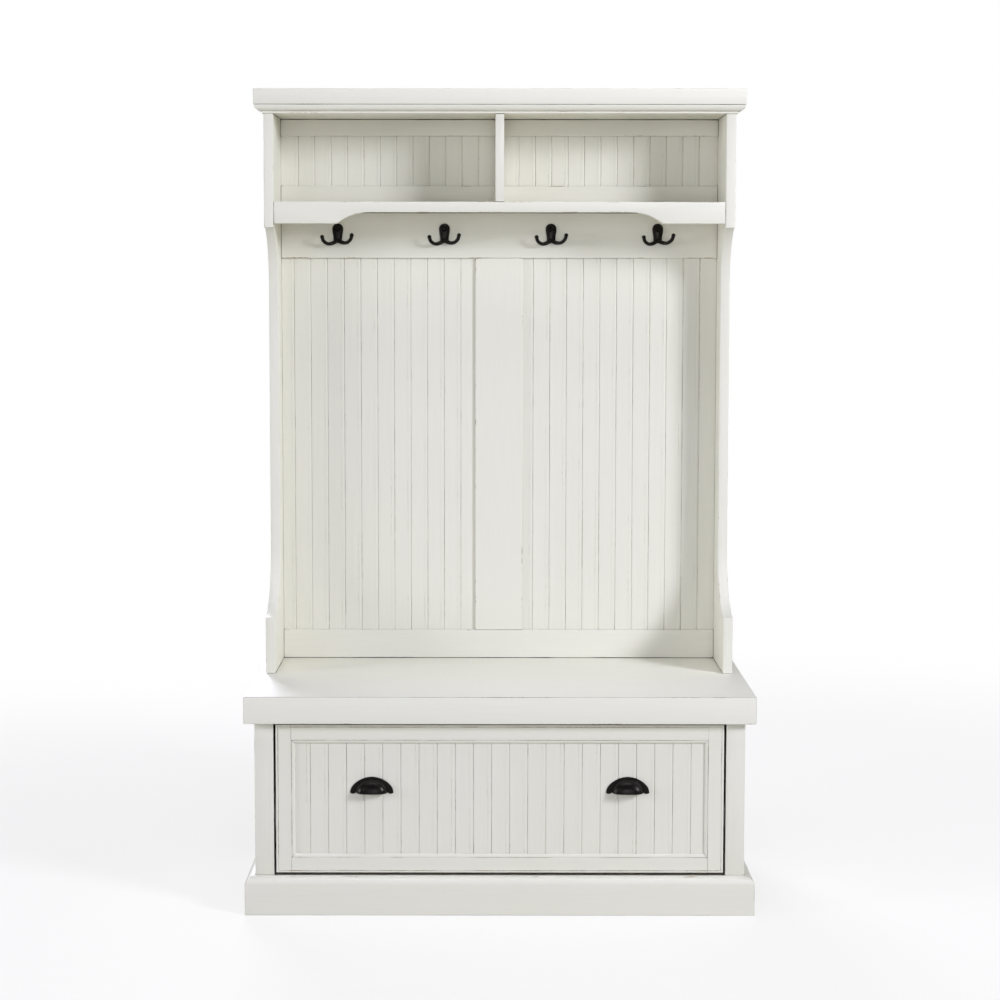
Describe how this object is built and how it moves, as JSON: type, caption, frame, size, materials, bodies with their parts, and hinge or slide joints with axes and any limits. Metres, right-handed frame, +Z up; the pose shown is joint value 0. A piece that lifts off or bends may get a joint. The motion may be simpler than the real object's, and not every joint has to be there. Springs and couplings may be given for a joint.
{
  "type": "hall tree",
  "caption": "Free-standing hall tree: a storage bench with a wide drawer on ball-bearing slides carries a beadboard back with coat hooks, an open cubby shelf and a moulded crown.",
  "frame": {"origin": "on the floor, at the middle of the footprint", "axes": "+Z up, the drawer's front faces -Y, +X to the right of a person who faces the front"},
  "size_m": [1.06, 0.466, 1.7278],
  "materials": {
    "white_paint": "satin off-white paint, lightly distressed at the edges",
    "drawer_wood": "clear lacquer",
    "dark_bronze": "satin dark bronze",
    "zinc_steel": "zinc plated"
  },
  "bodies": {
    "cabinet": {"crown_top": "white_paint", "hutch_top_panel": "white_paint", "crown_moulding_front": "white_paint", "crown_moulding_left": "white_paint", "crown_moulding_right": "white_paint", "upright_left": "white_paint", "upright_right": "white_paint", "shelf_board": "white_paint", "shelf_apron": "white_paint", "cubby_divider": "white_paint", "cubby_top_rail": "white_paint", "cubby_bottom_rail": "white_paint", "hook_rail": "white_paint", "back_bottom_rail": "white_paint", "back_centre_stile": "white_paint", "beadboard_left": "white_paint", "beadboard_right": "white_paint", "cubby_beadboard_left": "white_paint", "cubby_beadboard_right": "white_paint", "wall_fixing_plate_left": "zinc_steel", "wall_fixing_plate_right": "zinc_steel", "coat_hook_1": "dark_bronze", "coat_hook_2": "dark_bronze", "coat_hook_3": "dark_bronze", "coat_hook_4": "dark_bronze", "bench_top": "white_paint", "bench_lip_front": "white_paint", "bench_lip_left": "white_paint", "bench_lip_right": "white_paint", "skirting_front": "white_paint", "skirting_left": "white_paint", "skirting_right": "white_paint", "case_side_left": "white_paint", "case_side_right": "white_paint", "case_stile_left": "white_paint", "case_stile_right": "white_paint", "slide_spacer_left": "drawer_wood", "slide_spacer_right": "drawer_wood", "case_top_rail": "white_paint", "case_bottom": "white_paint", "case_back": "drawer_wood", "back_plinth": "white_paint", "slide_outer_left": "zinc_steel", "slide_outer_right": "zinc_steel"},
    "drawer": {"drawer_rail_bottom": "white_paint", "drawer_rail_top": "white_paint", "drawer_stile_left": "white_paint", "drawer_stile_right": "white_paint", "drawer_beadboard": "white_paint", "cup_pull_left": "dark_bronze", "cup_pull_right": "dark_bronze", "drawer_side_left": "drawer_wood", "drawer_side_right": "drawer_wood", "drawer_sub_front": "drawer_wood", "drawer_back": "drawer_wood", "drawer_bottom": "drawer_wood", "slide_inner_left": "zinc_steel", "slide_inner_right": "zinc_steel"},
    "left_slide_middle": {"slide_middle_left": "zinc_steel"},
    "right_slide_middle": {"slide_middle_right": "zinc_steel"}
  },
  "joints": [
    {"name": "drawer_slide", "type": "slide", "parent": "cabinet", "child": "drawer", "axis": [0, -1, 0], "range_m": [0, 0.33]},
    {"name": "left_middle_slide", "type": "slide", "parent": "cabinet", "child": "left_slide_middle", "axis": [0, -1, 0], "range_m": [0, 0.165]},
    {"name": "right_middle_slide", "type": "slide", "parent": "cabinet", "child": "right_slide_middle", "axis": [0, -1, 0], "range_m": [0, 0.165]}
  ],
  "couplings": [
    {"joint": "left_middle_slide", "follows": "drawer_slide", "ratio": 0.5},
    {"joint": "right_middle_slide", "follows": "drawer_slide", "ratio": 0.5}
  ]
}
